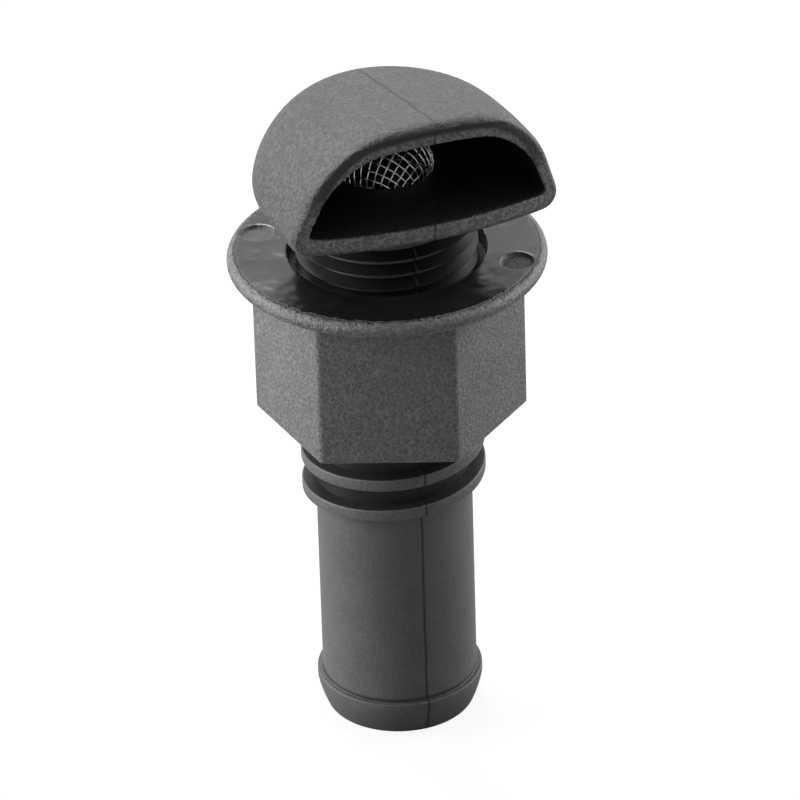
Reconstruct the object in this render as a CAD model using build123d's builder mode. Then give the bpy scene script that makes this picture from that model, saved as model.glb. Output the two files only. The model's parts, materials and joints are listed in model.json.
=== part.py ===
from build123d import *
import math
import os

# Fuel tank vent: a hooded through-hull fitting with a backing nut, a washer and a hose tail.
# The origin is the centre of the hose tail's open end, Z runs up the axis to the hood,
# and the hood's mouth faces -Y. All sizes are in millimetres and all angles in degrees.

# Hose tail
tail_length = 39.0
tail_radius = 9.25
tail_end_radius = 8.75
tail_end_bulge = 0.12
barb_radius = 9.9
barb_height = 4.55
barb_land = 1.0
airway_radius = 6.5

# Coarse helical rib between the hose tail and the fine thread
rib_radius = 10.9
rib_crest_width = 1.5
rib_root_width = 1.8
rib_lead = 4.12
rib_turns = 2
rib_start_height = 29.47
rib_start_angle = 70.5

# Fine right-hand thread of the shank
thread_pitch = 1.8143
thread_length = 31.45
thread_radius = 10.67
thread_depth = 1.3
thread_root_gap = 0.25
thread_phase_angle = -162.1
thread_clearance = 0.17
thread_lead_in = 0.2
rib_bury = 0.12

# Top of the shank, which is bonded into the floor of the hood
collar_radius = 10.85
bond_gap = 0.03

# Backing nut
nut_across_flats = 27.73
nut_height = 19.0
nut_rest_gap = 1.5
nut_face_angle = 8.7
nut_bore_radius = 9.8
nut_thread_length = 9.0
nut_relief_radius = 11.3
nut_corner_round = 0.4

# Flange washer
washer_radius = 18.7
washer_thickness = 1.96
washer_hole_radius = 11.67
washer_gap = 0.16
dimple_radius = 1.96
dimple_depth = 0.45
dimple_circle_radius = 15.58
dimple_angle = -35.3

# Hood
hood_half_width = 17.4
hood_centre_offset = 3.0
hood_side_radius = 95.0
hood_front_reach = 28.0
hood_front_trim = 21.0
hood_draft = 17.0
hood_floor_thickness = 2.05
hood_wall = 1.5
hood_edge_round = 4.2
hood_bottom_round = 2.4
hood_crown_front = 16.9
hood_crown_middle = 15.3
hood_crown_rear = 8.6
hood_crown_axis_drop = 5.5

# Mouth of the hood and the lip around it
mouth_front = 15.4
mouth_bow_radius = 50.0
mouth_lean = 9.0
lip_inset = 0.7
lip_step = 1.2

# Woven wire screen, a thimble that stands in the top of the airway
screen_radius = 5.66
screen_skirt = 6.0
screen_dome_height = 4.6
screen_wire = 0.2
screen_wire_pitch = 1.27
screen_weave_gap = 0.04
screen_weave_angle = 45.0
screen_ledge_width = 0.9
screen_ledge_thickness = 1.5
screen_pocket_depth = 3.5

# Heights, radii and angles that follow from the sizes above
thread_root_radius = thread_radius - thread_depth
thread_flank_angle = math.degrees(math.atan((thread_pitch - thread_root_gap) / 2 / thread_depth))
hood_seat_height = tail_length + thread_length
hood_floor_height = hood_seat_height + hood_floor_thickness
nut_bottom_height = tail_length + nut_rest_gap
nut_top_height = nut_bottom_height + nut_height
washer_bottom_height = nut_top_height + washer_gap
washer_top_height = washer_bottom_height + washer_thickness
crown_axis_height = hood_seat_height - hood_crown_axis_drop
screen_ledge_height = hood_floor_height - screen_pocket_depth
screen_half_weave = screen_wire * math.sqrt(2) / 2 + screen_weave_gap / 2
screen_pocket_radius = screen_radius + 2 * screen_half_weave
screen_ledge_radius = screen_radius - screen_ledge_width

os.makedirs("parts", exist_ok=True)


def helical_rib(section, lead, height):
    """A right-hand helical rib from a closed section of (radius, height) points."""
    with BuildPart() as rib:
        with BuildLine() as path:
            Helix(pitch=lead, height=height, radius=section[0][0])
        with BuildSketch(Plane.XZ):
            with BuildLine():
                Polyline(*section, close=True)
            make_face()
        sweep(path=path.line, is_frenet=True)
    return rib.part


def thread_rib(section, low, high, turn_offset=0.0):
    """A rib of the fine thread's lead and phase that runs past both of two heights."""
    first_turn = math.floor(low / thread_pitch) - 1
    last_turn = math.ceil(high / thread_pitch) + 1
    rib = helical_rib(section, thread_pitch, (last_turn - first_turn) * thread_pitch)
    start_height = (first_turn + turn_offset) * thread_pitch
    return rib.moved(Location((0, 0, start_height), (0, 0, thread_phase_angle)))


def hood_form(inset):
    """The hood's domed form, drawn in by an inset and left long past the mouth."""
    half_width = hood_half_width - inset
    front_angle = math.degrees(math.asin((hood_front_reach - hood_centre_offset) / hood_side_radius))
    side_centre = hood_side_radius - half_width
    with BuildPart() as form:
        with BuildSketch(Plane.XY.offset(hood_seat_height)):
            with BuildLine():
                CenterArc((0, -hood_centre_offset), half_width, 0, 180)
                left = CenterArc((side_centre, -hood_centre_offset), hood_side_radius, 180, front_angle)
                right = CenterArc((-side_centre, -hood_centre_offset), hood_side_radius, -front_angle,
                                  front_angle)
                Line(left @ 1, right @ 0)
            make_face()
        extrude(amount=2 * hood_crown_front, taper=hood_draft)
        with BuildSketch(Plane.YZ):
            with BuildLine():
                crown = Spline(
                    (-hood_front_reach - hood_wall, hood_seat_height + hood_crown_front - inset),
                    (-hood_centre_offset, hood_seat_height + hood_crown_middle - inset),
                    (hood_half_width, hood_seat_height + hood_crown_rear - inset),
                )
                Polyline(
                    crown @ 1,
                    (hood_half_width, crown_axis_height),
                    (-hood_front_reach - hood_wall, crown_axis_height),
                    crown @ 0,
                )
            make_face()
        revolve(axis=Axis((0, 0, crown_axis_height), (0, 1, 0)), mode=Mode.INTERSECT)
        split(bisect_by=Plane.XZ.offset(hood_front_trim), keep=Keep.BOTTOM)
        crown_edges = form.edges().filter_by(
            lambda edge: edge.center().Z > hood_seat_height + hood_crown_rear
            and edge.center().Y > hood_bottom_round - hood_front_trim
        )
        fillet(crown_edges, radius=hood_edge_round - inset)
        seat_edges = form.edges().group_by(Axis.Z)[0].filter_by(GeomType.CIRCLE)
        fillet(seat_edges, radius=hood_bottom_round - inset)
    return form.part


def mouth_cone(step_back):
    """The bowed, forward leaning space behind the mouth's face, for cutting the forms to length."""
    radius = mouth_bow_radius - step_back
    rise = 2 * hood_crown_front
    with BuildPart() as cone:
        with BuildSketch(Plane.XY.offset(hood_seat_height - hood_wall)):
            with Locations((0, mouth_bow_radius - mouth_front)):
                Circle(radius)
        extrude(amount=rise, taper=-mouth_lean)
    return cone.part


# Fine thread of the shank, a V rib trimmed to its length; its top end is buried in the collar
flank_slope = math.tan(math.radians(thread_flank_angle))
shank_rib_base = thread_root_radius - rib_bury
shank_rib_half = (thread_radius - shank_rib_base) * flank_slope
shank_rib = thread_rib(
    [(shank_rib_base, -shank_rib_half), (thread_radius, 0), (shank_rib_base, shank_rib_half)],
    tail_length,
    hood_seat_height,
)
with BuildPart() as shank_thread:
    with BuildSketch(Plane.XY.offset(tail_length + rib_bury)):
        Circle(thread_radius + thread_depth)
    extrude(amount=thread_length)
    add(shank_rib, mode=Mode.INTERSECT)

# Coarse rib, two turns that both end at the back
rib_section = [
    (tail_radius - rib_bury, -rib_root_width / 2),
    (rib_radius, -rib_crest_width / 2),
    (rib_radius, rib_crest_width / 2),
    (tail_radius - rib_bury, rib_root_width / 2),
]
coarse_rib = helical_rib(rib_section, rib_lead, rib_turns * rib_lead)
coarse_rib = coarse_rib.moved(Location((0, 0, rib_start_height), (0, 0, rib_start_angle)))

# Tail body: hose tail, ribs, threaded shank and bonding collar in one moulding
with BuildPart() as tail_body:
    with BuildSketch(Plane.XZ):
        with BuildLine():
            barb_foot = barb_height - barb_land
            barb_slope = ThreePointArc(
                (tail_end_radius, 0),
                ((tail_end_radius + barb_radius) / 2 + tail_end_bulge, barb_foot / 2),
                (barb_radius, barb_foot),
            )
            ledge_bottom = screen_ledge_height - screen_ledge_thickness
            Polyline(
                barb_slope @ 1,
                (barb_radius, barb_height),
                (tail_radius, barb_height),
                (tail_radius, tail_length - thread_root_radius + tail_radius),
                (thread_root_radius, tail_length),
                (thread_root_radius, hood_seat_height),
                (collar_radius, hood_seat_height),
                (collar_radius, hood_floor_height),
                (screen_pocket_radius, hood_floor_height),
                (screen_pocket_radius, screen_ledge_height),
                (screen_ledge_radius, screen_ledge_height),
                (screen_ledge_radius, ledge_bottom),
                (airway_radius, ledge_bottom - airway_radius + screen_ledge_radius),
                (airway_radius, 0),
                barb_slope @ 0,
            )
        make_face()
    revolve(axis=Axis.Z)
    add(shank_thread.part)
    add(coarse_rib)
tail_body.part.label = "tail_body"
export_step(tail_body.part, "parts/tail_body.step")

# Hood: outer skin, a lip that stands forward of it, the hollow and the socket for the collar
hood_skin = hood_form(0)
hood_lip = hood_form(lip_inset)
hood_hollow = hood_form(hood_wall)
skin_limit = mouth_cone(lip_step)
lip_limit = mouth_cone(0)
with BuildPart() as lip_block:
    add(hood_lip)
    add(lip_limit, mode=Mode.INTERSECT)
with BuildPart() as hollow_block:
    add(hood_hollow)
    split(bisect_by=Plane.XY.offset(hood_floor_height), keep=Keep.TOP)
with BuildPart() as hood:
    add(hood_skin)
    add(skin_limit, mode=Mode.INTERSECT)
    add(lip_block.part)
    add(hollow_block.part, mode=Mode.SUBTRACT)
    with Locations((0, 0, hood_seat_height)):
        Cylinder(collar_radius + bond_gap, 3 * hood_floor_thickness, mode=Mode.SUBTRACT)
hood.part.label = "hood"
export_step(hood.part, "parts/hood.step")

# Thread of the nut, a rib that fills the shank's groove but for the clearance
nut_root_radius = thread_radius + thread_clearance
nut_rib_base = nut_root_radius + rib_bury / 2
nut_thread_bottom = nut_top_height - nut_thread_length


def nut_rib_half(radius):
    """Half the width of the nut's rib at a radius."""
    shank_half = (thread_radius - radius) * flank_slope
    return thread_pitch / 2 - shank_half - thread_clearance * math.hypot(1, flank_slope)


nut_rib = thread_rib(
    [
        (nut_rib_base, -nut_rib_half(nut_rib_base)),
        (nut_bore_radius, -nut_rib_half(nut_bore_radius)),
        (nut_bore_radius, nut_rib_half(nut_bore_radius)),
        (nut_rib_base, nut_rib_half(nut_rib_base)),
    ],
    nut_thread_bottom,
    nut_top_height,
    turn_offset=0.5,
)
with BuildPart() as nut_thread:
    with BuildSketch(Plane.XY.offset(nut_thread_bottom + thread_lead_in)):
        Circle(nut_root_radius + thread_depth)
    extrude(amount=nut_thread_length - 2 * thread_lead_in)
    add(nut_rib, mode=Mode.INTERSECT)

# Backing nut: hexagon with a short run of thread under the washer and a relief below it
with BuildPart() as hex_nut:
    with BuildSketch(Plane.XY.offset(nut_bottom_height)):
        RegularPolygon(nut_across_flats / 2, 6, major_radius=False, rotation=nut_face_angle + 30)
    extrude(amount=nut_height)
    fillet(hex_nut.edges().filter_by(Axis.Z), radius=nut_corner_round)
    with BuildSketch(Plane.XY.offset(nut_bottom_height)):
        Circle(nut_root_radius)
    extrude(amount=nut_height, mode=Mode.SUBTRACT)
    with BuildSketch(Plane.XY.offset(nut_bottom_height)):
        Circle(nut_relief_radius)
    extrude(amount=nut_height - nut_thread_length, mode=Mode.SUBTRACT)
    add(nut_thread.part)
hex_nut.part.label = "hex_nut"
export_step(hex_nut.part, "parts/hex_nut.step")

# Flange washer: a ring with a full round rim and two blind dimples in its top face
with BuildPart() as flange_washer:
    with BuildSketch(Plane.XZ):
        with BuildLine():
            rim_radius = washer_thickness / 2
            rim = ThreePointArc(
                (washer_radius - rim_radius, washer_bottom_height),
                (washer_radius, washer_bottom_height + rim_radius),
                (washer_radius - rim_radius, washer_top_height),
            )
            Polyline(
                rim @ 1,
                (washer_hole_radius, washer_top_height),
                (washer_hole_radius, washer_bottom_height),
                rim @ 0,
            )
        make_face()
    revolve(axis=Axis.Z)
    with BuildSketch(Plane.XY.offset(washer_top_height)):
        with PolarLocations(dimple_circle_radius, 2, start_angle=dimple_angle):
            Circle(dimple_radius)
    extrude(amount=-dimple_depth, mode=Mode.SUBTRACT)
flange_washer.part.label = "flange_washer"
export_step(flange_washer.part, "parts/flange_washer.step")

# Woven screen: a flat weave of single wires formed over a thimble
dome_arc = math.pi / 2 * math.sqrt((screen_radius**2 + screen_dome_height**2) / 2)
dome_base_height = screen_ledge_height + screen_skirt
cloth_radius = dome_arc + screen_skirt - screen_wire


def formed_point(across, along, offset):
    """A point of the flat cloth moved onto the thimble, set off along the thimble's normal."""
    reach = math.hypot(across, along)
    angle = math.atan2(along, across) + math.radians(screen_weave_angle)
    if reach < dome_arc:
        tilt = math.pi / 2 * reach / dome_arc
        radius = screen_radius * math.sin(tilt)
        height = dome_base_height + screen_dome_height * math.cos(tilt)
    else:
        tilt = math.pi / 2
        radius = screen_radius
        height = dome_base_height - (reach - dome_arc)
    radius += offset * math.sin(tilt)
    height += offset * math.cos(tilt)
    return (radius * math.cos(angle), radius * math.sin(angle), height)


def woven_wires(turned):
    """One direction of the weave, as a list of single wires."""
    wires = []
    steps = math.ceil(cloth_radius / screen_wire_pitch)
    for row in range(-steps, steps):
        points = []
        for step in range(-steps, steps):
            across = (row + 0.5) * screen_wire_pitch
            along = (step + 0.5) * screen_wire_pitch
            if math.hypot(across, along) > cloth_radius:
                continue
            side = 1 if (row + step) % 2 else -1
            if turned:
                points.append(formed_point(along, across, -side * screen_half_weave))
            else:
                points.append(formed_point(across, along, side * screen_half_weave))
        if len(points) < 2:
            continue
        with BuildPart() as wire:
            with BuildLine() as path:
                Polyline(*points)
            start = Vector(points[0])
            with BuildSketch(Plane(origin=start, z_dir=Vector(points[1]) - start)):
                Rectangle(screen_wire, screen_wire)
            sweep(path=path.wires()[0], transition=Transition.RIGHT)
        wires.append(wire.part.solid())
    return wires


for name, turned in (("screen_warp", False), ("screen_weft", True)):
    screen = Compound(children=woven_wires(turned))
    screen.label = name
    export_step(screen, f"parts/{name}.step")
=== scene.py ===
"""Fuel tank vent: the looks of the vent, built round its CAD frame.

The vent is drawn in millimetres and handed over in metres. Z runs up the vent, the hood's
mouth faces -Y, and the mould's parting plane is X = 0.
"""

from __future__ import annotations

import json
import logging
import math
from dataclasses import dataclass, field
from enum import Enum
from typing import Callable, Optional, Sequence, Union

import bmesh
import bpy
from mathutils import Matrix, Vector

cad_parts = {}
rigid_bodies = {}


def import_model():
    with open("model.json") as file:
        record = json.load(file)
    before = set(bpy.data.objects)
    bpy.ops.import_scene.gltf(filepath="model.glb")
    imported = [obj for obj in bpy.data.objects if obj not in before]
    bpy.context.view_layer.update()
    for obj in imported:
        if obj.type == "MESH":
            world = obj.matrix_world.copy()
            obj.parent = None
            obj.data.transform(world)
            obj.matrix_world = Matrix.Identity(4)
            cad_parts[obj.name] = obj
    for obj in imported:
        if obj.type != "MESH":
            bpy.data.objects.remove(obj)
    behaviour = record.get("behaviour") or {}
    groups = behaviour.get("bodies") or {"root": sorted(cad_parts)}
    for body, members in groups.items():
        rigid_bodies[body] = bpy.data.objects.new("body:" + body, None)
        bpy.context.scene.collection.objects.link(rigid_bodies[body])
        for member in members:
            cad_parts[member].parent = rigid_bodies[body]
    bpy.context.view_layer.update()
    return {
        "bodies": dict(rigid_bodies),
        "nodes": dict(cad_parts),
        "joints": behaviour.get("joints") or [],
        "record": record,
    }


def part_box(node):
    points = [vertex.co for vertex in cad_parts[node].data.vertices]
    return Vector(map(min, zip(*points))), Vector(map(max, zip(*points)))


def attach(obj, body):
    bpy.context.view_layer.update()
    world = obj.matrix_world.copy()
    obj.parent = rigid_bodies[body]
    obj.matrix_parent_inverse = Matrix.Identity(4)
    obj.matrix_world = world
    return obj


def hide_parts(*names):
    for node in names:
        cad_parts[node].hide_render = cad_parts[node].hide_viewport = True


MM = 0.001
PHOTO_PIXELS = 800
SENSOR_WIDTH = 36.0
UP = (0.0, 0.0, 1.0)
CENTRE = (0.0, 0.0, 0.0)

# The mesh attribute that carries the hood's tone, with its painted shade.
PAINTED_TONE = "tone"

log = logging.getLogger("vent")

Section = Sequence[tuple[float, float]]


class Body(Enum):
    """The moving bodies of the vent."""

    FITTING = "body"
    WASHER = "washer"
    NUT = "nut"


class Slot(Enum):
    """The material slots of the record."""

    SHANK = "shank_plastic"
    HOOD = "hood_plastic"
    NUT = "nut_plastic"
    WASHER = "washer_plastic"
    SCREEN = "screen_wire"


# ---------------------------------------------------------------------------
# Shader expressions
# ---------------------------------------------------------------------------


@dataclass(frozen=True)
class Signal:
    """A shader socket that takes part in Python expressions."""

    shader: "Shader"
    socket: bpy.types.NodeSocket

    def math(self, operation: str, *others: Union["Signal", float], clamp: bool = False) -> "Signal":
        """One Math node with this value first.

        Args:
            operation: The Math node's operation.
            others: The second and third values.
            clamp: Whether the result is kept between 0 and 1.

        Returns:
            The node's result.
        """
        settings = {"operation": operation, "use_clamp": clamp}
        return self.shader.node("ShaderNodeMath", settings, dict(enumerate((self, *others))))

    def __add__(self, other: Union["Signal", float]) -> "Signal":
        """The sum."""
        return self.math("ADD", other)

    __radd__ = __add__

    def __sub__(self, other: Union["Signal", float]) -> "Signal":
        """The difference."""
        return self.math("SUBTRACT", other)

    def __rsub__(self, other: float) -> "Signal":
        """The difference from a number."""
        return self.shader.node("ShaderNodeMath", {"operation": "SUBTRACT"}, {0: other, 1: self})

    def __mul__(self, other: Union["Signal", float]) -> "Signal":
        """The product."""
        return self.math("MULTIPLY", other)

    __rmul__ = __mul__

    def __neg__(self) -> "Signal":
        """The value with its sign turned."""
        return self.math("MULTIPLY", -1.0)

    def __abs__(self) -> "Signal":
        """The size without its sign."""
        return self.math("ABSOLUTE")

    def clamped(self) -> "Signal":
        """The value kept between 0 and 1."""
        return self.math("ADD", 0.0, clamp=True)

    def rise(self, low: float, high: float) -> "Signal":
        """A soft step up.

        Args:
            low: The value up to which the result is 0.
            high: The value from which the result is 1.

        Returns:
            The smooth step between them.
        """
        settings = {"interpolation_type": "SMOOTHSTEP"}
        return self.shader.node("ShaderNodeMapRange", settings,
                                {"Value": self, "From Min": low, "From Max": high})

    def fall(self, low: float, high: float) -> "Signal":
        """A soft step down, the opposite of a rise.

        Args:
            low: The value up to which the result is 1.
            high: The value from which the result is 0.

        Returns:
            The smooth step between them.
        """
        return 1.0 - self.rise(low, high)


class Shader:
    """A material's node tree, built from Python expressions."""

    def __init__(self, name: str) -> None:
        """Makes an empty material.

        Args:
            name: The material's name.
        """
        self.material = bpy.data.materials.new(name)
        self.material.use_nodes = True
        self.tree = self.material.node_tree
        self.tree.nodes.clear()
        self.place = self.node("ShaderNodeTexCoord", {}, {}, "Object")

    def node(self, kind: str, settings: dict, inputs: dict, output: Union[str, int, None] = 0) -> Signal:
        """Adds one node.

        Args:
            kind: The node's type.
            settings: Its properties.
            inputs: Values or signals by socket name or number.
            output: The socket that is wanted.

        Returns:
            The wanted output.
        """
        made = self.tree.nodes.new(kind)
        for key, value in settings.items():
            setattr(made, key, value)
        for key, value in inputs.items():
            if isinstance(value, Signal):
                self.tree.links.new(value.socket, made.inputs[key])
            else:
                made.inputs[key].default_value = value
        return Signal(self, None if output is None else made.outputs[output])

    def axis(self, name: str) -> Signal:
        """One coordinate of the point on the piece, in metres.

        Args:
            name: X, Y or Z.

        Returns:
            The coordinate.
        """
        return self.node("ShaderNodeSeparateXYZ", {}, {0: self.place}, name)

    def noise(self, grain: float, detail: float = 2.0, roughness: float = 0.5) -> Signal:
        """Noise of a given grain.

        Args:
            grain: The size of its blotches, in millimetres.
            detail: The number of finer layers.
            roughness: The strength of the finer layers.

        Returns:
            The noise, from 0 to 1.
        """
        inputs = {"Vector": self.place, "Scale": 1 / (grain * MM), "Detail": detail,
                  "Roughness": roughness}
        return self.node("ShaderNodeTexNoise", {}, inputs)

    def pits(self, grain: float) -> Signal:
        """Rounded pits, as spark erosion leaves them in a mould.

        Args:
            grain: The distance between them, in millimetres.

        Returns:
            The distance from the middle of the nearest pit.
        """
        inputs = {"Vector": self.place, "Scale": 1 / (grain * MM)}
        return self.node("ShaderNodeTexVoronoi", {"feature": "SMOOTH_F1"}, inputs, "Distance")

    def radius(self) -> Signal:
        """The distance of the point from the vent's axis, in metres."""
        flat = self.node("ShaderNodeVectorMath", {"operation": "MULTIPLY"},
                         {0: self.place, 1: (1.0, 1.0, 0.0)})
        return self.node("ShaderNodeVectorMath", {"operation": "LENGTH"}, {0: flat}, "Value")

    def distance(self, spot: Sequence[float]) -> Signal:
        """The distance of the point from a spot.

        Args:
            spot: The spot, in millimetres.

        Returns:
            The distance, in metres.
        """
        inputs = {0: self.place, 1: tuple(value * MM for value in spot)}
        return self.node("ShaderNodeVectorMath", {"operation": "DISTANCE"}, inputs, "Value")

    def mix(self, factor: Union[Signal, float], first: object, second: object) -> Signal:
        """A mix of two colours.

        Args:
            factor: How much of the second.
            first: A colour or a signal.
            second: A colour or a signal.

        Returns:
            The mixed colour.
        """
        return self.node("ShaderNodeMix", {"data_type": "RGBA"}, {0: factor, 6: first, 7: second}, 2)

    def bump(self, height: Signal, distance: float, normal: Optional[Signal] = None) -> Signal:
        """A bumped normal.

        Args:
            height: The height, from 0 to 1.
            distance: What a height of 1 stands for, in millimetres.
            normal: A normal that it goes on top of.

        Returns:
            The normal.
        """
        inputs = {"Strength": 1.0, "Distance": distance * MM, "Height": height}
        if normal is not None:
            inputs["Normal"] = normal
        return self.node("ShaderNodeBump", {}, inputs)

    def surface(self, **inputs: object) -> bpy.types.Material:
        """Ends the material in a Principled surface.

        Args:
            inputs: The surface's sockets, with underscores for spaces.

        Returns:
            The finished material.
        """
        named = {key.replace("_", " "): value for key, value in inputs.items()}
        return self.end(self.node("ShaderNodeBsdfPrincipled", {}, named))

    def end(self, shaded: Signal) -> bpy.types.Material:
        """Ends the material in a shader.

        Args:
            shaded: The shader.

        Returns:
            The finished material.
        """
        self.node("ShaderNodeOutputMaterial", {}, {"Surface": shaded}, None)
        return self.material


def grey(value: float, cast: float = 0.0) -> tuple[float, float, float, float]:
    """A grey with a slight cast.

    Args:
        value: Its lightness, linear.
        cast: Above 0 for a warm cast, below for a cool one.

    Returns:
        The colour with alpha.
    """
    return (value * (1 + cast), value, value * (1 - cast), 1.0)


# ---------------------------------------------------------------------------
# Finishes
# ---------------------------------------------------------------------------


@dataclass(frozen=True)
class MouldedNylon:
    """Black nylon as it comes from a spark-eroded mould, with the mould's parting line."""

    name: str
    shade: float = 0.03
    roughness: float = 0.5
    grain: float = 0.2
    grain_height: float = 0.03
    speckle: float = 0.5
    seam_width: float = 0.07
    seam_wander: float = 0.12
    gloss: float = 0.25
    # Where shade is painted: inside this radius, in this band of heights, along a line at this height and above
    # this height.
    shadow_radius: float = 7.0
    shadow_band: tuple[float, float] = (90.0, 91.0)
    shadow_line: float = -1.0
    shadow_top: float = 99.0

    def relief(self, shader: Shader) -> Signal:
        """The height of the grain.

        Args:
            shader: The material in the making.

        Returns:
            The height, from 0 to 1.
        """
        return (shader.noise(self.grain, 3.0, 0.65) * 0.7 + shader.pits(self.grain * 1.6) * 0.3).clamped()

    def seam(self, shader: Shader) -> Signal:
        """The parting line in the plane X = 0.

        Args:
            shader: The material in the making.

        Returns:
            1 on the line and 0 off it.
        """
        wander = (shader.noise(2.5, 2.0) - 0.5) * (2 * self.seam_wander * MM)
        return abs(shader.axis("X") + wander).fall(0.3 * self.seam_width * MM, self.seam_width * MM)

    def painted_shade(self, shader: Shader) -> Signal:
        """The places in shadow, where painted shade darkens the colour by their position.

        Args:
            shader: The material in the making.

        Returns:
            1 in them and 0 elsewhere.
        """
        inner = shader.radius().fall((self.shadow_radius - 0.15) * MM, self.shadow_radius * MM)
        height = shader.axis("Z")
        low, high = self.shadow_band
        band = height.rise((low - 0.3) * MM, low * MM) * height.fall(high * MM, (high + 0.5) * MM)
        line = height.rise((self.shadow_line - 0.1) * MM, (self.shadow_line + 0.05) * MM) * height.fall(
            (self.shadow_line + 0.05) * MM, (self.shadow_line + 0.6) * MM)
        top = height.rise((self.shadow_top - 0.05) * MM, self.shadow_top * MM)
        return (inner + band + line + top).clamped()

    def make(self) -> bpy.types.Material:
        """Builds the material."""
        shader = Shader(self.name)
        grain = self.relief(shader)
        cloud = shader.noise(5.0, 2.0)
        tone = ((grain - 0.5) * (2 * self.speckle) + (cloud - 0.5) * 0.4 + 0.5).clamped()
        colour = shader.mix(tone, grey(self.shade * 0.6, -0.05), grey(self.shade * 1.4, -0.03))
        line = self.seam(shader)
        colour = shader.mix(line * 0.8, colour, grey(self.shade * 0.15))
        # Painted shade: the places in shadow are darkened by their position.
        colour = shader.mix(self.painted_shade(shader) * 0.85, colour, grey(0.0))
        normal = shader.bump(line, -0.08, shader.bump(grain, self.grain_height))
        rough = (cloud - 0.5) * 0.1 + self.roughness
        return shader.surface(Base_Color=colour, Roughness=rough, Normal=normal,
                              Specular_IOR_Level=self.gloss)


@dataclass(frozen=True)
class HoodNylon(MouldedNylon):
    """The hood's nylon, with its own tones, and a scuff and a nick on the parting line."""

    scuff: tuple[float, float, float] = (2.6, -11.5, 85.2)
    scuff_reach: float = 3.2
    nick: tuple[float, float, float] = (0.0, -17.9, 85.8)
    nick_reach: float = 1.3

    def make(self) -> bpy.types.Material:
        """Builds the material."""
        shader = Shader(self.name)
        tone = shader.node("ShaderNodeAttribute", {"attribute_name": PAINTED_TONE}, {}, "Fac")
        grain = self.relief(shader)
        cloud = shader.noise(4.0, 3.0)
        worn = shader.distance(self.scuff).fall(0.3 * self.scuff_reach * MM, self.scuff_reach * MM)
        scratch = worn * shader.noise(0.35, 4.0, 0.8).rise(0.53, 0.62)
        nick = (shader.distance(self.nick) + (shader.noise(0.6, 3.0) - 0.5) * MM).fall(
            0.3 * self.nick_reach * MM, self.nick_reach * MM)
        mottle = ((grain - 0.5) * (2 * self.speckle) + (cloud - 0.5) * 0.5 + 0.5).clamped()
        colour = shader.mix(mottle, grey(self.shade * 0.5, -0.05), grey(self.shade * 1.5, -0.03))
        colour = shader.mix(scratch * 0.5, colour, grey(self.shade * 2.2, -0.02))
        line = (self.seam(shader) + nick * 0.6).clamped()
        # Painted shade from the tone attribute: the hollow and the band under the brow are darkened, and the
        # skin is darker than the lip face.
        colour = shader.mix(tone * (1.0 - line * 0.75), grey(0.0), colour)
        normal = shader.bump(grain, self.grain_height)
        normal = shader.bump(line + scratch * 0.5, -0.1, normal)
        rough = (cloud - 0.5) * 0.1 + self.roughness
        return shader.surface(Base_Color=colour, Roughness=rough, Normal=normal,
                              Specular_IOR_Level=self.gloss)


@dataclass(frozen=True)
class WasherNylon(MouldedNylon):
    """The washer's nylon: a polished top, a grained rim and ragged flash where they meet."""

    rim_radius: float = 17.75
    flash_width: float = 0.26
    dimple_place: float = 15.58
    dimple_angle: float = -35.3
    dimple_radius: float = 2.08
    top: float = 61.62

    def dimples(self, shader: Shader) -> Signal:
        """The floors of the two blind dimples.

        Args:
            shader: The material in the making.

        Returns:
            1 in a dimple and 0 outside.
        """
        turn = math.radians(self.dimple_angle)
        spot = Vector((math.cos(turn), math.sin(turn), 0)) * self.dimple_place
        height = Vector((0, 0, self.top))
        near = shader.distance(height + spot).fall((self.dimple_radius - 0.05) * MM, self.dimple_radius * MM)
        far = shader.distance(height - spot).fall((self.dimple_radius - 0.05) * MM, self.dimple_radius * MM)
        return near + far

    def make(self) -> bpy.types.Material:
        """Builds the material."""
        shader = Shader(self.name)
        ragged = (shader.noise(0.9, 4.0, 0.75) - 0.5) * (1.5 * MM)
        edge = shader.radius() + ragged
        rim = edge.rise((self.rim_radius - 0.06) * MM, (self.rim_radius + 0.06) * MM)
        flash = abs(edge - self.rim_radius * MM).fall(0.3 * self.flash_width * MM, self.flash_width * MM)
        rough_zone = (rim + self.dimples(shader)).clamped()
        grain = self.relief(shader)
        flow = shader.noise(5.0, 2.0)
        tone = ((grain - 0.5) * (2 * self.speckle) * rough_zone + (flow - 0.5) * 0.4 + 0.5).clamped()
        dull = shader.mix(tone, grey(self.shade * 0.4, -0.03), grey(self.shade * 1.6, -0.03))
        colour = shader.mix(rough_zone, grey(0.008, -0.1), dull)
        # Painted shade: the dimple floors are darkened nearly to black.
        colour = shader.mix(self.dimples(shader) * 0.75, colour, grey(0.006))
        colour = shader.mix(flash * 0.9, colour, grey(0.002))
        normal = shader.bump(flow, 0.3)
        normal = shader.bump(grain * rough_zone, self.grain_height, normal)
        normal = shader.bump(flash, -0.08, normal)
        rough = rough_zone * (self.roughness - 0.2) + 0.2 + (flow - 0.5) * 0.2
        return shader.surface(Base_Color=colour, Roughness=rough, Normal=normal,
                              Specular_IOR_Level=0.65)


@dataclass(frozen=True)
class SteelWire:
    """Bright drawn stainless wire."""

    name: str = "steel wire"

    def make(self) -> bpy.types.Material:
        """Builds the material."""
        shader = Shader(self.name)
        drawn = shader.noise(0.4, 2.0)
        colour = shader.mix(drawn, grey(0.45, 0.02), grey(0.85, 0.02))
        return shader.surface(Base_Color=colour, Metallic=1.0, Roughness=drawn * 0.15 + 0.22)


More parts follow.
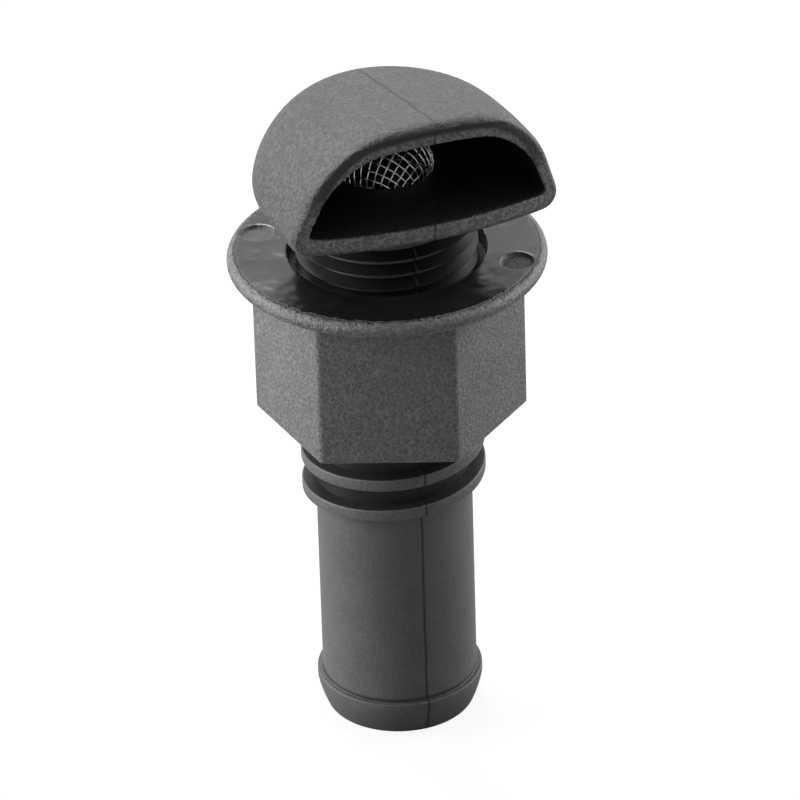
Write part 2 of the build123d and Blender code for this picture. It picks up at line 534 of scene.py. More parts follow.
@dataclass(frozen=True)
class StudioPaper:
    """The floor: white to look at, and dull to the light that it throws back up."""

    name: str = "studio paper"
    white: float = 0.9
    dull: float = 0.3

    def make(self) -> bpy.types.Material:
        """Builds the material."""
        shader = Shader(self.name)
        dull = shader.node("ShaderNodeBsdfDiffuse", {}, {"Color": grey(self.dull)})
        lit = shader.node("ShaderNodeBsdfDiffuse", {}, {"Color": grey(0.85)})
        glow = shader.node("ShaderNodeEmission", {}, {"Color": grey(1.0), "Strength": 1.0})
        bright = shader.node("ShaderNodeMixShader", {}, {0: self.white, 1: lit, 2: glow})
        seen = shader.node("ShaderNodeLightPath", {}, {}, "Is Camera Ray")
        paper = shader.node("ShaderNodeMixShader", {}, {0: seen, 1: dull, 2: bright})
        return shader.end(paper)


# ---------------------------------------------------------------------------
# Shaping
# ---------------------------------------------------------------------------


def closed_wire(bm: bmesh.types.BMesh, section: Section) -> list:
    """Draws a closed section in the XZ plane.

    Args:
        bm: The mesh in the making.
        section: Points as (radius, height).

    Returns:
        The vertices and edges.
    """
    corners = [bm.verts.new((radius, 0.0, height)) for radius, height in section]
    sides = [bm.edges.new((corner, corners[index - 1])) for index, corner in enumerate(corners)]
    return corners + sides


def turned(section: Section, steps: int = 128) -> bmesh.types.BMesh:
    """Turns a closed section all the way round the vent's axis.

    Args:
        section: Points as (radius, height).
        steps: The number of facets round.

    Returns:
        The turned form.
    """
    bm = bmesh.new()
    wire = closed_wire(bm, section)
    bmesh.ops.spin(bm, geom=wire, cent=CENTRE, axis=UP, dvec=CENTRE, angle=math.tau, steps=steps,
                   use_merge=True, use_duplicate=False)
    bmesh.ops.remove_doubles(bm, verts=bm.verts, dist=1e-5)
    bmesh.ops.recalc_face_normals(bm, faces=bm.faces)
    return bm


@dataclass
class Helix:
    """A helical rib of a given section."""

    section: Section
    lead: float
    turns: float
    start_height: float
    start_angle: float
    steps_per_turn: int = 72

    def build(self) -> bmesh.types.BMesh:
        """Sweeps the section along the helix and closes its ends.

        Returns:
            The rib.
        """
        bm = bmesh.new()
        wire = closed_wire(bm, self.section)
        steps = round(self.turns * self.steps_per_turn)
        climb = (0.0, 0.0, self.lead * self.turns / steps)
        bmesh.ops.spin(bm, geom=wire, cent=CENTRE, axis=UP, dvec=climb, angle=self.turns * math.tau,
                       steps=steps, use_merge=False, use_duplicate=False)
        bmesh.ops.rotate(bm, cent=CENTRE, matrix=Matrix.Rotation(math.radians(self.start_angle), 3, "Z"),
                         verts=bm.verts)
        bmesh.ops.translate(bm, vec=(0.0, 0.0, self.start_height), verts=bm.verts)
        close_holes(bm)
        bmesh.ops.recalc_face_normals(bm, faces=bm.faces)
        return bm


def close_holes(bm: bmesh.types.BMesh) -> None:
    """Closes every open end of a mesh."""
    rims = [edge for edge in bm.edges if edge.is_boundary]
    bmesh.ops.holes_fill(bm, edges=rims, sides=0)


def trim(bm: bmesh.types.BMesh, low: float, high: float) -> None:
    """Cuts a mesh off level at two heights and closes it.

    Args:
        bm: The mesh.
        low: The lower height.
        high: The upper height.
    """
    for height, up in ((low, -1.0), (high, 1.0)):
        everything = bm.verts[:] + bm.edges[:] + bm.faces[:]
        bmesh.ops.bisect_plane(bm, geom=everything, plane_co=(0, 0, height), plane_no=(0, 0, up),
                               clear_outer=True)
        close_holes(bm)


def round_edges(bm: bmesh.types.BMesh, radius: float, chosen: Callable[[bmesh.types.BMEdge], bool],
                segments: int = 3) -> None:
    """Rounds the chosen sharp edges.

    Args:
        bm: The mesh.
        radius: The size of the rounding.
        chosen: Says which of the sharp edges are rounded.
        segments: The number of facets across the rounding.
    """
    sharp = [edge for edge in bm.edges
             if len(edge.link_faces) == 2 and edge.calc_face_angle() > math.radians(25) and chosen(edge)]
    bmesh.ops.bevel(bm, geom=sharp, offset=radius, offset_type="OFFSET", segments=segments, profile=0.5,
                    affect="EDGES", material=-1, clamp_overlap=True)


def smooth_step(value: float, start: float, end: float) -> float:
    """A soft step from 0 at one value to 1 at another.

    Args:
        value: The value.
        start: Where the step is 0.
        end: Where it is 1.

    Returns:
        The height of the step.
    """
    along = min(max((value - start) / (end - start), 0.0), 1.0)
    return along * along * (3 - 2 * along)


def middle(edge: bmesh.types.BMEdge) -> Vector:
    """The middle of an edge."""
    return (edge.verts[0].co + edge.verts[1].co) / 2


@dataclass
class Piece:
    """One finished piece of the vent and what it stands for."""

    name: str
    body: Body
    slot: Slot
    node: str
    finish: bpy.types.Material
    smooth_angle: float = 32.0

    def hand_over(self, bm: bmesh.types.BMesh, unit: float = MM) -> bpy.types.Object:
        """Makes the object of a mesh, hangs it on its body and hides the CAD node that it stands for.

        Args:
            bm: The mesh, which is used up.
            unit: The size of the mesh's unit, in metres.

        Returns:
            The object.
        """
        bmesh.ops.scale(bm, vec=(unit, unit, unit), verts=bm.verts)
        mesh = bpy.data.meshes.new(self.name)
        bm.to_mesh(mesh)
        bm.free()
        return self.place(mesh)

    def place(self, mesh: bpy.types.Mesh) -> bpy.types.Object:
        """Puts a mesh that is in metres into the scene.

        Args:
            mesh: The mesh.

        Returns:
            The object.
        """
        mesh.shade_smooth()
        mesh.set_sharp_from_angle(angle=math.radians(self.smooth_angle))
        mesh.materials.clear()
        mesh.materials.append(self.finish)
        thing = bpy.data.objects.new(self.name, mesh)
        bpy.context.scene.collection.objects.link(thing)
        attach(thing, self.body.value)
        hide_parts(self.node)
        log.info("%s: %d faces, on %s", self.name, len(mesh.polygons), self.body.value)
        return thing


class Carving:
    """A solid that other solids are cut from, at the end as even and soft-edged as a moulding."""

    def __init__(self, bm: bmesh.types.BMesh) -> None:
        """Starts with a solid.

        Args:
            bm: The solid, which is used up.
        """
        self.work = self.shown(bm)
        self.tools: list[bpy.types.Object] = []

    @staticmethod
    def shown(bm: bmesh.types.BMesh) -> bpy.types.Object:
        """Puts a solid into the scene for a while."""
        bmesh.ops.recalc_face_normals(bm, faces=bm.faces)
        mesh = bpy.data.meshes.new("carving")
        bm.to_mesh(mesh)
        bm.free()
        thing = bpy.data.objects.new("carving", mesh)
        bpy.context.scene.collection.objects.link(thing)
        return thing

    def cut(self, operation: str, bm: bmesh.types.BMesh) -> "Carving":
        """Adds a cut with another solid.

        Args:
            operation: DIFFERENCE, INTERSECT or UNION.
            bm: The other solid, which is used up.

        Returns:
            This carving.
        """
        tool = self.shown(bm)
        self.tools.append(tool)
        carve = self.work.modifiers.new(f"cut {len(self.tools)}", "BOOLEAN")
        carve.operation = operation
        carve.solver = "EXACT"
        carve.object = tool
        return self

    def result(self, voxel: float = 0.0, passes: int = 0) -> bmesh.types.BMesh:
        """Makes the cuts.

        Args:
            voxel: The size of the even faces, or 0 to leave them as they are.
            passes: How often the edges are softened.

        Returns:
            The carved solid.
        """
        if voxel:
            remesh = self.work.modifiers.new("even faces", "REMESH")
            remesh.mode = "VOXEL"
            remesh.voxel_size = voxel
        ready = self.work.evaluated_get(bpy.context.evaluated_depsgraph_get())
        carved = bpy.data.meshes.new_from_object(ready)
        bm = bmesh.new()
        bm.from_mesh(carved)
        for thing in (self.work, *self.tools):
            bpy.data.objects.remove(thing)
        for _ in range(passes):
            bmesh.ops.smooth_vert(bm, verts=bm.verts, factor=0.5, use_axis_x=True, use_axis_y=True,
                                  use_axis_z=True)
        return bm


def moulded_copy(frame: dict, node: str, voxel: float, passes: int) -> bmesh.types.BMesh:
    """A copy of a CAD node with evenly spread faces and edges as soft as a moulding's.

    Args:
        frame: The loaded frame.
        node: The node's name.
        voxel: The size of the faces, in millimetres.
        passes: How often the copy is smoothed.

    Returns:
        The copy, in metres.
    """
    bm = bmesh.new()
    bm.from_mesh(frame["nodes"][node].data)
    bmesh.ops.remove_doubles(bm, verts=bm.verts, dist=1e-7)
    rough = bpy.data.meshes.new(node + "_rough")
    bm.to_mesh(rough)
    bm.free()
    carrier = bpy.data.objects.new(node + "_rough", rough)
    bpy.context.scene.collection.objects.link(carrier)
    remesh = carrier.modifiers.new("even faces", "REMESH")
    remesh.mode = "VOXEL"
    remesh.voxel_size = voxel * MM
    ready = carrier.evaluated_get(bpy.context.evaluated_depsgraph_get())
    even = bpy.data.meshes.new_from_object(ready)
    bpy.data.objects.remove(carrier)
    bm = bmesh.new()
    bm.from_mesh(even)
    for _ in range(passes):
        bmesh.ops.smooth_vert(bm, verts=bm.verts, factor=0.5, use_axis_x=True, use_axis_y=True,
                              use_axis_z=True)
    return bm


# ---------------------------------------------------------------------------
# The vent's pieces
# ---------------------------------------------------------------------------


@dataclass
class TailBody:
    """Hose tail, coarse ribs, threaded shank and collar, all of one moulding."""

    tail_radius: float = 9.25
    tail_length: float = 39.0
    end_radius: float = 8.75
    barb_radius: float = 9.9
    barb_height: float = 4.55
    barb_land: float = 1.0
    airway_radius: float = 6.5
    root_radius: float = 9.37
    crest_radius: float = 10.67
    crest_flat: float = 0.07
    pitch: float = 1.8143
    phase: float = -162.1
    seat_height: float = 70.45
    collar_radius: float = 10.85
    pocket_radius: float = 5.98
    pocket_depth: float = 3.5
    ledge_radius: float = 4.76
    ledge_thickness: float = 1.5
    rib_radius: float = 10.9
    rib_lead: float = 4.12
    rib_turns: float = 2.0
    rib_start_height: float = 29.47
    rib_start_angle: float = 70.5
    rib_crest: float = 1.5
    rib_root: float = 1.8
    bury: float = 0.12
    # The tube's shadow fields paint shade into the airway, between the ribs and under the nut, above the barb
    # and on the collar inside the hood.
    tube_finish: MouldedNylon = field(default_factory=lambda: MouldedNylon(
        "tail nylon", shade=0.08, roughness=0.45, grain=0.2, grain_height=0.06, speckle=0.6,
        seam_width=0.24, shadow_band=(31.6, 40.0), shadow_line=4.6, shadow_top=72.3))
    # Painted shade: the rib's flanks below the shadow radius are darkened.
    rib_finish: MouldedNylon = field(default_factory=lambda: MouldedNylon(
        "rib nylon", shade=0.09, roughness=0.48, grain=0.22, grain_height=0.08, speckle=1.0,
        seam_width=0.24, shadow_radius=10.82))
    thread_finish: MouldedNylon = field(default_factory=lambda: MouldedNylon(
        "thread nylon", shade=0.009, roughness=0.34, grain=0.2, grain_height=0.01, speckle=0.3,
        seam_width=0.12))

    def barb_slope(self, points: int = 7) -> list[tuple[float, float]]:
        """The slightly rounded run of the barb, from the end up to its land.

        Args:
            points: The number of points.

        Returns:
            Points as (radius, height).
        """
        foot = self.barb_height - self.barb_land
        run = []
        for index in range(points):
            along = index / (points - 1)
            bulge = 0.12 * 4 * along * (1 - along)
            run.append((self.end_radius + (self.barb_radius - self.end_radius) * along + bulge, foot * along))
        return run

    def tube(self) -> bmesh.types.BMesh:
        """The turned core: tube, barb, thread root, collar and screen pocket."""
        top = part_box("tail_body")[1].z / MM
        ledge = top - self.pocket_depth
        section = self.barb_slope() + [
            (self.barb_radius, self.barb_height),
            (self.tail_radius, self.barb_height),
            (self.tail_radius, self.tail_length - self.bury),
            (self.root_radius, self.tail_length),
            (self.root_radius, self.seat_height),
            (self.collar_radius, self.seat_height),
            (self.collar_radius, top),
            (self.pocket_radius, top),
            (self.pocket_radius, ledge),
            (self.ledge_radius, ledge),
            (self.ledge_radius, ledge - self.ledge_thickness),
            (self.airway_radius, ledge - self.ledge_thickness - self.airway_radius + self.ledge_radius),
            (self.airway_radius, 0.0),
        ]
        bm = turned(section)
        round_edges(bm, 0.3, lambda edge: middle(edge).z < 0.1)
        round_edges(bm, 0.18, lambda edge: 0.1 < middle(edge).z < self.barb_height + 0.1)
        return bm

    def coarse_rib(self) -> bmesh.types.BMesh:
        """The coarse rib with softly rounded lands."""
        foot = self.tail_radius - self.bury
        section = [(foot, -self.rib_root / 2), (self.rib_radius, -self.rib_crest / 2),
                   (self.rib_radius, self.rib_crest / 2), (foot, self.rib_root / 2)]
        bm = Helix(section, self.rib_lead, self.rib_turns, self.rib_start_height,
                   self.rib_start_angle).build()
        round_edges(bm, 0.22, lambda edge: middle(edge).xy.length > self.rib_radius - 0.1)
        return bm

    def thread(self) -> bmesh.types.BMesh:
        """The fine thread of the shank."""
        foot = self.root_radius - self.bury
        half = self.pitch / 2 - 0.1
        section = [(foot, -half), (self.crest_radius, -self.crest_flat / 2),
                   (self.crest_radius, self.crest_flat / 2), (foot, half)]
        low = self.tail_length + self.bury
        first = math.floor(low / self.pitch) - 1
        last = math.ceil(self.seat_height / self.pitch) + 1
        bm = Helix(section, self.pitch, last - first, first * self.pitch, self.phase).build()
        trim(bm, low, self.seat_height)
        return bm

    def build(self) -> None:
        """Makes the three visible forms of the moulding."""
        Piece("tail_tube", Body.FITTING, Slot.SHANK, "tail_body", self.tube_finish.make()).hand_over(self.tube())
        Piece("tail_rib", Body.FITTING, Slot.SHANK, "tail_body", self.rib_finish.make()).hand_over(
            self.coarse_rib())
        Piece("shank_thread", Body.FITTING, Slot.SHANK, "tail_body", self.thread_finish.make()).hand_over(
            self.thread())


@dataclass(frozen=True)
class Walls:
    """How far one of the hood's forms is drawn in from the skin, and how round it is."""

    base: float
    top: float
    crown: float
    edge_round: float
    floor: float
    floor_round: float


@dataclass
class Hood:
    """The scoop hood over the screen."""

    seat_height: float = 70.45
    half_width: float = 17.15
    centre: float = -4.5
    top_half_width: float = 11.3
    top_centre: float = 3.8
    top_height: float = 20.0
    side_radius: float = 180.0
    crown_height: float = 13.1
    crown_place: float = -3.0
    crown_slope: float = -0.226
    crown_bow: float = -0.00088
    crown_drop: float = 30.0
    front_end: float = -24.0
    mouth_front: float = 17.0
    mouth_bow: float = 50.0
    mouth_lean: float = 4.0
    mouth_round: float = 1.7
    brow_reach: float = 0.6
    socket_radius: float = 10.9
    heart: tuple[float, float, float] = (0.0, -4.0, 6.5)
    rings: int = 6
    skin_tone: float = 0.42
    voxel: float = 0.22
    passes: int = 2
    skin: Walls = Walls(0.0, 0.0, 0.0, 6.0, 0.0, 2.7)
    recess: Walls = Walls(-0.6, -0.6, 1.2, 4.9, -1.0, 0.5)
    hollow: Walls = Walls(1.5, 2.4, 3.0, 4.3, 2.35, 0.6)
    finish: HoodNylon = field(default_factory=lambda: HoodNylon(
        "hood nylon", shade=0.125, roughness=0.5, grain=0.3, grain_height=0.32, speckle=2.6,
        seam_width=0.2, seam_wander=0.3, gloss=0.4))

    @staticmethod
    def rounded(first: float, second: float, radius: float) -> float:
        """The depth inside two faces that meet in a rounded edge.

        Args:
            first: The depth behind one face.
            second: The depth behind the other.
            radius: The radius of the edge.

        Returns:
            The depth, below 0 outside.
        """
        corner = math.hypot(max(radius - first, 0.0), max(radius - second, 0.0))
        return max(radius, min(first, second)) - corner

    def depth(self, place: Vector, walls: Walls) -> float:
        """How deep a point lies inside one of the hood's forms.

        Args:
            place: The point, with heights above the seat.
            walls: The form.

        Returns:
            The depth, below 0 outside.
        """
        rise = place.z / self.top_height
        half = self.half_width + (self.top_half_width - self.half_width) * rise
        half -= walls.base + (walls.top - walls.base) * rise
        back = place.y - self.centre - (self.top_centre - self.centre) * rise
        bowed = half - back * back / (2 * self.side_radius) - abs(place.x)
        side = half - math.hypot(place.x, back) if back > 0 else bowed
        run = place.y - self.crown_place
        crown = self.crown_drop + self.crown_height + run * (self.crown_slope + self.crown_bow * run)
        crown = math.sqrt(max(crown * crown - place.x * place.x, 0.0)) - self.crown_drop
        dome = self.rounded(side * 0.96, (crown - walls.crown - place.z) * 0.97, walls.edge_round)
        dome = self.rounded(dome, place.z - walls.floor, walls.floor_round)
        return min(dome, place.y - self.front_end)

    def behind_mouth(self, place: Vector) -> float:
        """How far a point lies behind the face of the mouth.

        Args:
            place: The point, with heights above the seat.

        Returns:
            The distance, below 0 in front of the mouth.
        """
        lean = math.tan(math.radians(self.mouth_lean))
        return place.y + self.mouth_front + lean * place.z - place.x * place.x / (2 * self.mouth_bow)

    def shell_depth(self, place: Vector) -> float:
        """How deep a point lies inside the skin and the rounded edge of the mouth.

        Args:
            place: The point, with heights above the seat.

        Returns:
            The depth, below 0 outside.
        """
        return self.rounded(self.depth(place, self.skin), self.behind_mouth(place), self.mouth_round)

    def form(self, depth: Callable[[Vector], float]) -> bmesh.types.BMesh:
        """Blows a ball up until it fills one of the hood's forms.

        Args:
            depth: Says how deep a point lies inside the form.

        Returns:
            The closed form.
        """
        bm = bmesh.new()
        bmesh.ops.create_icosphere(bm, subdivisions=self.rings, radius=1.0)
        heart = Vector(self.heart)
        for vert in bm.verts:
            ray = vert.co.normalized()
            near, far = 0.0, 40.0
            for _ in range(18):
                reach = (near + far) / 2
                if depth(heart + ray * reach) > 0:
                    near = reach
                else:
                    far = reach
            vert.co = heart + ray * near
        bmesh.ops.translate(bm, vec=(0.0, 0.0, self.seat_height), verts=bm.verts)
        return bm

    def mouth(self, step_back: float) -> bmesh.types.BMesh:
        """The leaning round block whose front is the face of the mouth.

        Args:
            step_back: How far the face stands behind the brow.

        Returns:
            The block.
        """
        bm = bmesh.new()
        height = 30.0
        slope = math.tan(math.radians(self.mouth_lean))
        low = self.mouth_bow - step_back - slope * 5.0
        centre = Matrix.Translation((0.0, self.mouth_bow - self.mouth_front, self.seat_height + 10.0))
        bmesh.ops.create_cone(bm, cap_ends=True, segments=720, radius1=low, radius2=low + slope * height,
                              depth=height, matrix=centre)
        return bm

    def tone(self, place: Vector) -> float:
        """How light the nylon is painted at a point: painted shade inside the hollow and in a band under the
        brow, and the lip face lighter than the rest of the skin.

        Args:
            place: The point, with heights above the seat.

        Returns:
            The share of the finish's light tone.
        """
        behind = self.behind_mouth(place)
        # Painted shade: inside the hollow, behind the mouth, the colour is nearly black.
        if self.depth(place, self.hollow) > -0.2 and behind > 0.8:
            return 0.04
        under = self.depth(place, self.skin)
        # The lip face is lighter than the skin, and a band under the brow gets painted shade.
        front = smooth_step(behind, 1.1, 0.7) * smooth_step(under, 0.5, 0.9)
        high = smooth_step(place.z, 4.5, 9.0)
        band = smooth_step(under, 0.15, 0.6) * smooth_step(under, 2.0, 1.6) * smooth_step(behind, 2.0, 1.2)
        return (self.skin_tone + (1 - self.skin_tone) * front) * (1 - 0.92 * band * high)

    def paint(self, bm: bmesh.types.BMesh) -> None:
        """Notes the tone at every point for the finish, painted shade included.

        Args:
            bm: The hood.
        """
        layer = bm.verts.layers.float.new(PAINTED_TONE)
        seat = Vector((0.0, 0.0, self.seat_height))
        for vert in bm.verts:
            vert[layer] = self.tone(vert.co - seat)

    def build(self) -> None:
        """Makes the hood from its skin, the step under the brow, the hollow and the socket."""
        socket = bmesh.new()
        bmesh.ops.create_cone(socket, cap_ends=True, segments=128, radius1=self.socket_radius,
                              radius2=self.socket_radius, depth=8.0,
                              matrix=Matrix.Translation((0.0, 0.0, self.seat_height)))
        recess = self.form(lambda place: self.depth(place, self.recess))
        step = Carving(recess).cut("DIFFERENCE", self.mouth(self.brow_reach))
        shell = Carving(self.form(self.shell_depth)).cut("DIFFERENCE", step.result())
        shell.cut("DIFFERENCE", self.form(lambda place: self.depth(place, self.hollow)))
        shell.cut("DIFFERENCE", socket)
        bm = shell.result(self.voxel, self.passes)
        self.paint(bm)
        piece = Piece("hood_shell", Body.FITTING, Slot.HOOD, "hood", self.finish.make(), smooth_angle=60.0)
        piece.hand_over(bm)


@dataclass
class FlangeWasher:
    """The wide washer with a full round rim and two blind dimples."""

    voxel: float = 0.2
    passes: int = 1
    finish: WasherNylon = field(default_factory=lambda: WasherNylon(
        "washer nylon", shade=0.085, roughness=0.5, grain=0.28, grain_height=0.25, speckle=2.0))

    def build(self, frame: dict) -> None:
        """Makes the washer.

        Args:
            frame: The loaded frame.
        """
        bm = moulded_copy(frame, "flange_washer", self.voxel, self.passes)
        piece = Piece("flange_washer_ring", Body.WASHER, Slot.WASHER, "flange_washer", self.finish.make(),
                      smooth_angle=50.0)
        piece.hand_over(bm, unit=1.0)


@dataclass
class BackingNut:
    """The deep six-sided nut behind the panel."""

    across_flats: float = 27.73
    face_angle: float = 8.7
    corner_round: float = 0.45
    edge_round: float = 0.3
    relief_radius: float = 11.3
    root_radius: float = 10.84
    bore_radius: float = 9.8
    thread_length: float = 9.0
    pitch: float = 1.8143
    phase: float = -162.1
    # Painted shade: the bore inside the shadow radius is darkened.
    finish: MouldedNylon = field(default_factory=lambda: MouldedNylon(
        "nut nylon", shade=0.125, roughness=0.5, grain=0.26, grain_height=0.22, speckle=1.8,
        seam_width=0.001, shadow_radius=11.4))

    def shell(self, low: float, high: float) -> bmesh.types.BMesh:
        """The six-sided shell with its stepped bore.

        Args:
            low: The height of its lower end.
            high: The height of its upper end.

        Returns:
            The shell.
        """
        bm = bmesh.new()
        corner = self.across_flats / 2 / math.cos(math.radians(30))
        made = bmesh.ops.create_circle(bm, cap_ends=False, segments=6, radius=corner,
                                       matrix=Matrix.Rotation(math.radians(self.face_angle), 4, "Z"))
        ring = list({edge for vert in made["verts"] for edge in vert.link_edges})
        bmesh.ops.translate(bm, vec=(0, 0, low), verts=bm.verts)
        outer_top = self.raise_wall(bm, ring, high - low)
        upright = [edge for edge in bm.edges if abs(edge.verts[0].co.z - edge.verts[1].co.z) > 1]
        bmesh.ops.bevel(bm, geom=upright, offset=self.corner_round, offset_type="OFFSET", segments=4,
                        profile=0.5, affect="EDGES", material=-1, clamp_overlap=True)
        made = bmesh.ops.create_circle(bm, cap_ends=False, segments=96, radius=self.relief_radius,
                                       matrix=Matrix.Translation((0, 0, low)))
        ring = list({edge for vert in made["verts"] for edge in vert.link_edges})
        wall = self.raise_wall(bm, ring, high - low - self.thread_length)
        step = self.narrow(bm, wall, self.root_radius / self.relief_radius)
        self.raise_wall(bm, step, self.thread_length)
        for height in (low, high):
            rims = [edge for edge in bm.edges if edge.is_boundary and abs(middle(edge).z - height) < 1e-3]
            bmesh.ops.bridge_loops(bm, edges=rims)
        bmesh.ops.recalc_face_normals(bm, faces=bm.faces)
        round_edges(bm, self.edge_round, lambda edge: self.is_outer_rim(edge, low, high))
        return bm

    def is_outer_rim(self, edge: bmesh.types.BMEdge, low: float, high: float) -> bool:
        """Whether an edge runs round the outside of one end.

        Args:
            edge: The edge.
            low: The height of the lower end.
            high: The height of the upper end.

        Returns:
            True for an edge of the outline.
        """
        level = all(min(abs(v.co.z - low), abs(v.co.z - high)) < 1e-3 for v in edge.verts)
        return level and min(v.co.xy.length for v in edge.verts) > self.across_flats / 2 - 0.05

    @staticmethod
    def raise_wall(bm: bmesh.types.BMesh, ring: list, height: float) -> list:
        """Draws a ring of edges up into a wall.

        Args:
            bm: The mesh.
            ring: The edges.
            height: The height of the wall.

        Returns:
            The edges at its top.
        """
        made = bmesh.ops.extrude_edge_only(bm, edges=ring)["geom"]
        verts = [item for item in made if isinstance(item, bmesh.types.BMVert)]
        bmesh.ops.translate(bm, vec=(0, 0, height), verts=verts)
        return [item for item in made if isinstance(item, bmesh.types.BMEdge) and item.is_boundary]

    @staticmethod
    def narrow(bm: bmesh.types.BMesh, ring: list, factor: float) -> list:
        """Draws a ring of edges inwards into a step.

        Args:
            bm: The mesh.
            ring: The edges.
            factor: The new radius over the old.

        Returns:
            The edges at the inside of the step.
        """
        made = bmesh.ops.extrude_edge_only(bm, edges=ring)["geom"]
        verts = [item for item in made if isinstance(item, bmesh.types.BMVert)]
        bmesh.ops.scale(bm, vec=(factor, factor, 1), verts=verts)
        return [item for item in made if isinstance(item, bmesh.types.BMEdge) and item.is_boundary]

    def thread(self, low: float, high: float) -> bmesh.types.BMesh:
        """The short run of thread at the top of the bore.

        Args:
            low: The height where it starts.
            high: The height where it ends.

        Returns:
            The thread.
        """
        section = [(self.root_radius + 0.06, -0.7), (self.bore_radius, -0.14), (self.bore_radius, 0.14),
                   (self.root_radius + 0.06, 0.7)]
        first = math.floor(low / self.pitch) - 1
        last = math.ceil(high / self.pitch) + 1
        bm = Helix(section, self.pitch, last - first, (first + 0.5) * self.pitch, self.phase).build()
        trim(bm, low, high)
        return bm

    def build(self) -> None:
        """Makes the nut."""
        low, high = (corner.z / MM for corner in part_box("hex_nut"))
        finish = self.finish.make()
        Piece("nut_shell", Body.NUT, Slot.NUT, "hex_nut", finish, smooth_angle=20.0).hand_over(
            self.shell(low, high))
        Piece("nut_thread", Body.NUT, Slot.NUT, "hex_nut", finish).hand_over(
            self.thread(high - self.thread_length + 0.2, high - 0.2))


class Run(Enum):
    """The two directions of the weave."""

    WARP = "screen_warp"
    WEFT = "screen_weft"


@dataclass
class Screen:
    """The woven wire thimble in the top of the airway."""

    radius: float = 5.66
    skirt: float = 3.6
    dome_height: float = 4.6
    seat_depth: float = 3.5
    wire: float = 0.2
    pitch: float = 1.1
    crimp: float = 0.11
    angle: float = 45.0
    foot: float = 0.0
    finish: SteelWire = field(default_factory=SteelWire)

    def __post_init__(self) -> None:
        """Stands the thimble on the ledge in the collar."""
        self.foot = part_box("tail_body")[1].z / MM - self.seat_depth

    @property
    def dome_arc(self) -> float:
        """The length of the dome's profile from its top to its edge."""
        return math.pi / 2 * math.sqrt((self.radius ** 2 + self.dome_height ** 2) / 2)

    def formed(self, across: float, along: float, lift: float) -> Vector:
        """A point of the flat cloth after it is drawn over the thimble.

        Args:
            across: Its first place in the flat cloth.
            along: Its second place in the flat cloth.
            lift: How far it stands off the cloth.

        Returns:
            The point.
        """
        reach = math.hypot(across, along)
        turn = math.atan2(along, across) + math.radians(self.angle)
        base = self.foot + self.skirt
        tilt = math.pi / 2 * min(reach / self.dome_arc, 1.0)
        radius = self.radius * math.sin(tilt) + lift * math.sin(tilt)
        height = base + (self.dome_height + lift) * math.cos(tilt) - max(reach - self.dome_arc, 0.0)
        return Vector((radius * math.cos(turn), radius * math.sin(turn), height))

    def wires(self, run: Run) -> list[list[Vector]]:
        """The lines of all the wires of one direction.

        Args:
            run: The direction.

        Returns:
            One list of points for each wire.
        """
        limit = self.dome_arc + self.skirt - self.wire
        half = math.ceil(limit / self.pitch)
        lines = []
        for row in range(-half, half):
            line = []
            for step in range(-half, half):
                first, second = (row + 0.5) * self.pitch, (step + 0.5) * self.pitch
                if math.hypot(first, second) > limit:
                    continue
                over = self.crimp if (row + step) % 2 else -self.crimp
                if run is Run.WARP:
                    line.append(self.formed(first, second, over))
                else:
                    line.append(self.formed(second, first, -over))
            if len(line) > 2:
                lines.append(line)
        return lines

    def cloth(self, run: Run) -> bpy.types.Mesh:
        """The wires of one direction as round tubes.

        Args:
            run: The direction.

        Returns:
            The mesh, in metres.
        """
        curve = bpy.data.curves.new(run.value + "_line", "CURVE")
        curve.dimensions = "3D"
        curve.bevel_depth = self.wire / 2 * MM
        curve.bevel_resolution = 1
        curve.use_fill_caps = True
        curve.resolution_u = 3
        for line in self.wires(run):
            spline = curve.splines.new("NURBS")
            spline.points.add(len(line) - 1)
            for point, place in zip(spline.points, line):
                point.co = (*(place * MM), 1.0)
            spline.order_u = 3
            spline.use_endpoint_u = True
        carrier = bpy.data.objects.new(run.value + "_line", curve)
        bpy.context.scene.collection.objects.link(carrier)
        ready = carrier.evaluated_get(bpy.context.evaluated_depsgraph_get())
        mesh = bpy.data.meshes.new_from_object(ready)
        bpy.data.objects.remove(carrier)
        return mesh

    def build(self) -> None:
        """Makes both directions of the weave."""
        finish = self.finish.make()
        for run in Run:
            Piece(run.value + "_wires", Body.FITTING, Slot.SCREEN, run.value, finish,
                  smooth_angle=70.0).place(self.cloth(run))


# ---------------------------------------------------------------------------
# The studio
# ---------------------------------------------------------------------------


@dataclass(frozen=True)
class Lamp:
    """A soft square lamp."""

    name: str
    place: tuple[float, float, float]
    size: float
    power: float

    def hang(self, aim: Vector) -> None:
        """Hangs the lamp so that it faces a point.

        Args:
            aim: The point.
        """
        light = bpy.data.lights.new(self.name, "AREA")
        light.size = self.size
        light.energy = self.power
        lamp = bpy.data.objects.new(self.name, light)
        lamp.location = self.place
        lamp.rotation_euler = (aim - Vector(self.place)).to_track_quat("-Z", "Y").to_euler()
        bpy.context.scene.collection.objects.link(lamp)


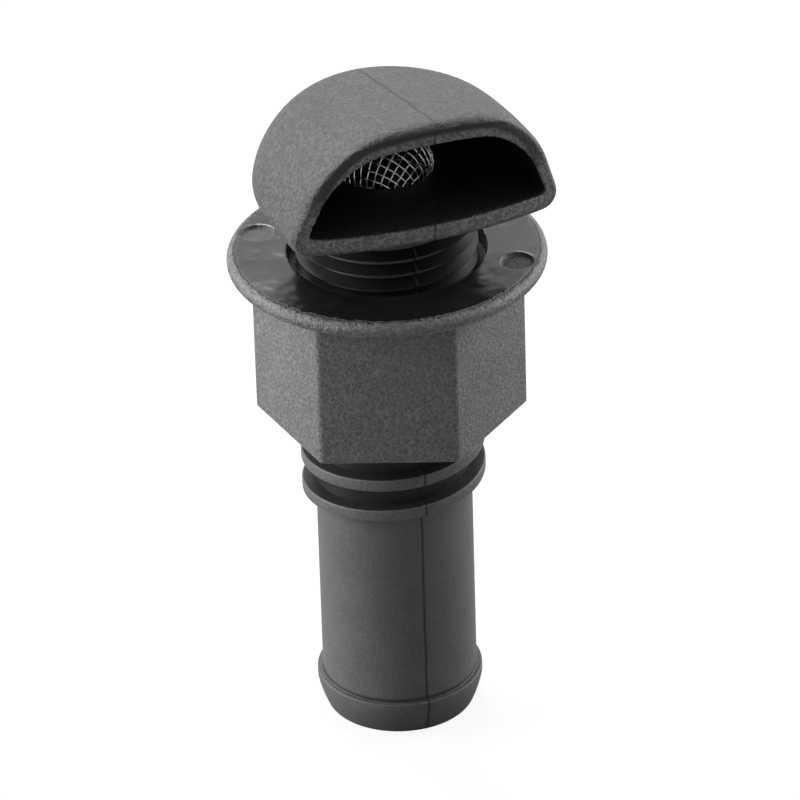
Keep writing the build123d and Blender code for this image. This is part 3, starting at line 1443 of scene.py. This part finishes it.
@dataclass
class Studio:
    """The floor, the lamps and the camera."""

    azimuth: float = -19.5
    elevation: float = 30.36
    roll: float = -1.775
    focal_pixels: float = 6956.5
    pixel_size: float = 0.1167 * MM
    aim_height: float = 55.16 * MM
    aim_pixel: tuple[float, float] = (388.35, 295.01)
    world_level: float = 0.34
    lamps: tuple[Lamp, ...] = (
        Lamp("left window", (-0.74, 0.30, 0.30), 0.5, 12.5),
        Lamp("right window", (0.80, 0.12, 0.30), 0.5, 8.0),
        Lamp("top light", (0.0, 0.50, 0.78), 0.5, 8.0),
    )

    def place_camera(self) -> None:
        """Puts the camera at the photograph's viewing angle."""
        side, rise, turn = (math.radians(a) for a in (self.azimuth, self.elevation, self.roll))
        back = Vector((math.sin(side) * math.cos(rise), -math.cos(side) * math.cos(rise), math.sin(rise)))
        level = Vector((math.cos(side), math.sin(side), 0.0))
        upright = back.cross(level)
        right = math.cos(turn) * level + math.sin(turn) * upright
        up = math.cos(turn) * upright - math.sin(turn) * level
        across = (PHOTO_PIXELS / 2 - self.aim_pixel[0]) * self.pixel_size
        rise_by = (self.aim_pixel[1] - PHOTO_PIXELS / 2) * self.pixel_size
        reach = self.focal_pixels * self.pixel_size
        place = Vector((0, 0, self.aim_height)) + right * across + up * rise_by + back * reach
        lens = bpy.data.cameras.new("camera")
        lens.sensor_width = SENSOR_WIDTH
        lens.lens = SENSOR_WIDTH * self.focal_pixels / PHOTO_PIXELS
        lens.clip_start = 0.01
        camera = bpy.data.objects.new("camera", lens)
        turned_axes = Matrix((right, up, back)).transposed()
        camera.matrix_world = Matrix.Translation(place) @ turned_axes.to_4x4()
        bpy.context.scene.collection.objects.link(camera)
        bpy.context.scene.camera = camera

    def lay_floor(self) -> None:
        """Lays the white floor."""
        bm = bmesh.new()
        bmesh.ops.create_grid(bm, x_segments=1, y_segments=1, size=3.0)
        mesh = bpy.data.meshes.new("floor")
        bm.to_mesh(mesh)
        bm.free()
        mesh.materials.append(StudioPaper().make())
        floor = bpy.data.objects.new("floor", mesh)
        bpy.context.scene.collection.objects.link(floor)

    def paint_world(self) -> None:
        """Gives the room a plain white light and a white background to look at."""
        world = bpy.data.worlds.new("white room")
        world.use_nodes = True
        tree = world.node_tree
        background = tree.nodes["Background"]
        background.inputs["Color"].default_value = grey(1.0)
        rays = tree.nodes.new("ShaderNodeLightPath")
        seen = tree.nodes.new("ShaderNodeMath")
        seen.operation = "MAXIMUM"
        tree.links.new(rays.outputs["Is Camera Ray"], seen.inputs[0])
        tree.links.new(rays.outputs["Is Glossy Ray"], seen.inputs[1])
        level = tree.nodes.new("ShaderNodeMath")
        level.operation = "MAXIMUM"
        tree.links.new(seen.outputs[0], level.inputs[0])
        level.inputs[1].default_value = self.world_level
        tree.links.new(level.outputs[0], background.inputs["Strength"])
        bpy.context.scene.world = world

    def build(self) -> None:
        """Sets up the whole studio."""
        self.place_camera()
        self.lay_floor()
        self.paint_world()
        aim = Vector((0, 0, self.aim_height))
        for lamp in self.lamps:
            lamp.hang(aim)
        bpy.context.scene.view_settings.view_transform = "Standard"


def main() -> None:
    """Builds the vent and its studio."""
    logging.basicConfig(level=logging.INFO, format="%(name)s: %(message)s")
    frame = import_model()
    Studio().build()
    TailBody().build()
    Hood().build()
    FlangeWasher().build(frame)
    BackingNut().build()
    Screen().build()


if __name__ == "__main__":
    main()
